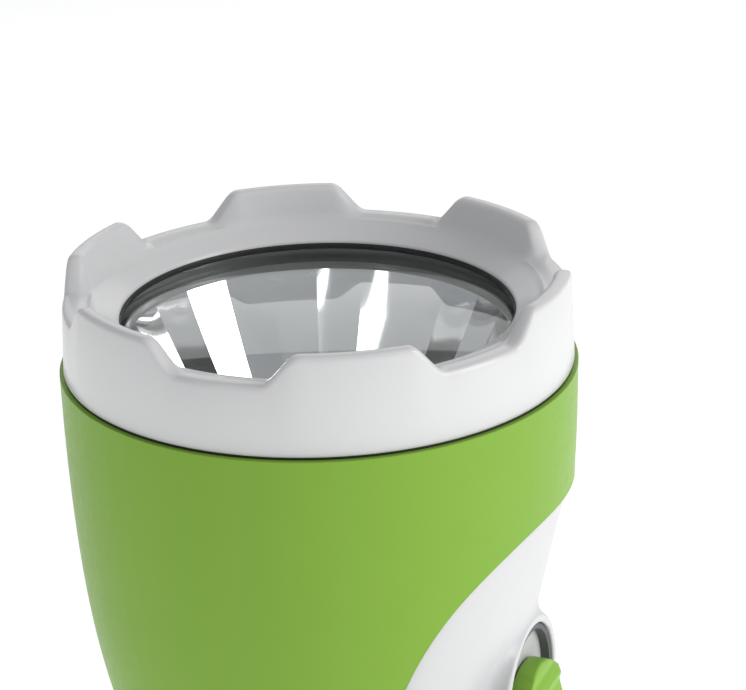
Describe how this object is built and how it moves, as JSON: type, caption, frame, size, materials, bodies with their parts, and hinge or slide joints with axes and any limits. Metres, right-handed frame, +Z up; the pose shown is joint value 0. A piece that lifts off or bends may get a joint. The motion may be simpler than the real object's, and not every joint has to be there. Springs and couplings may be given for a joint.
{
  "type": "hand crank flashlight",
  "caption": "Upright torch with a flared two-colour body, notched bezel, thumb slide and a folding crank that drives a small generator.",
  "frame": {"origin": "centre of the foot, on the plane that the torch stands on", "axes": "+Z up the torch from the tail to the bezel; the thumb slide faces -Y and the crank is on the +Y side"},
  "size_m": [0.0928, 0.0928, 0.218],
  "materials": {
    "green_shell": "satin green moulding",
    "green_button": "satin green moulding",
    "white_plastic": "satin white moulding",
    "white_knob": "satin white moulding",
    "dark_plastic": "matt dark moulding",
    "frame_plastic": "natural grey moulding",
    "gear_plastic": "natural acetal",
    "black_rubber": "black rubber",
    "clear_lens": "clear polished",
    "mirror_bowl": "vacuum metallised",
    "aluminium": "plain",
    "emitter": "phosphor under a clear dome",
    "steel": "zinc plated",
    "board": "solder mask",
    "cell_sleeve": "shrink sleeve",
    "copper": "enamelled wire",
    "brass": "turned",
    "magnet": "sintered"
  },
  "bodies": {
    "torch": {"head_shell": "green_shell", "front_panel": "white_plastic", "bezel_ring": "white_plastic", "seam_seal": "black_rubber", "lens": "clear_lens", "lens_gasket": "black_rubber", "reflector": "mirror_bowl", "led_board": "aluminium", "led_emitter": "emitter", "heat_sink": "aluminium", "sink_screws": "steel", "switch_well": "dark_plastic", "slide_switch": "dark_plastic", "control_board": "board", "board_screws": "steel", "battery_tray": "dark_plastic", "battery_cells": "cell_sleeve", "cell_contacts": "steel", "battery_cap": "dark_plastic", "gear_plate_front": "frame_plastic", "gear_plate_rear": "frame_plastic", "plate_screws": "steel", "idler_axle": "steel", "generator_can": "steel", "stator_core": "steel", "stator_coils": "copper", "crank_bush": "brass", "tail_cap": "white_plastic", "foot_ring": "black_rubber", "tail_screws": "steel"},
    "crank": {"crank_arm": "green_shell", "crank_shaft": "steel", "crank_gear": "gear_plastic", "crank_screw": "steel", "fold_pin": "steel"},
    "knob_hinge": {"knob_stem": "steel"},
    "knob": {"knob_grip": "white_knob"},
    "idler": {"idler_gear": "gear_plastic"},
    "rotor": {"rotor_shaft": "steel", "rotor_magnet": "magnet", "rotor_pinion": "brass"},
    "slide": {"switch_button": "green_button"}
  },
  "joints": [
    {"name": "crank_turn", "type": "hinge", "parent": "torch", "child": "crank", "pos_m": [0, 0.031, 0.054], "axis": [0, 1, 0], "continuous": true},
    {"name": "knob_fold", "type": "hinge", "parent": "crank", "child": "knob_hinge", "pos_m": [0, 0.0374, 0.096], "axis": [1, 0, 0], "range_deg": [0, 90]},
    {"name": "knob_spin", "type": "hinge", "parent": "knob_hinge", "child": "knob", "pos_m": [0, 0.0374, 0.096], "axis": [0, 0, 1], "continuous": true},
    {"name": "idler_spin", "type": "hinge", "parent": "torch", "child": "idler", "pos_m": [0, 0.008, 0.0748], "axis": [0, 1, 0], "continuous": true},
    {"name": "rotor_spin", "type": "hinge", "parent": "torch", "child": "rotor", "pos_m": [0, 0, 0.0924], "axis": [0, 1, 0], "continuous": true},
    {"name": "slide_travel", "type": "slide", "parent": "torch", "child": "slide", "axis": [0, 0, 1], "range_m": [0, 0.0055]}
  ],
  "couplings": [
    {"joint": "idler_spin", "follows": "crank_turn", "ratio": -3.3333},
    {"joint": "rotor_spin", "follows": "crank_turn", "ratio": 8.8889}
  ]
}
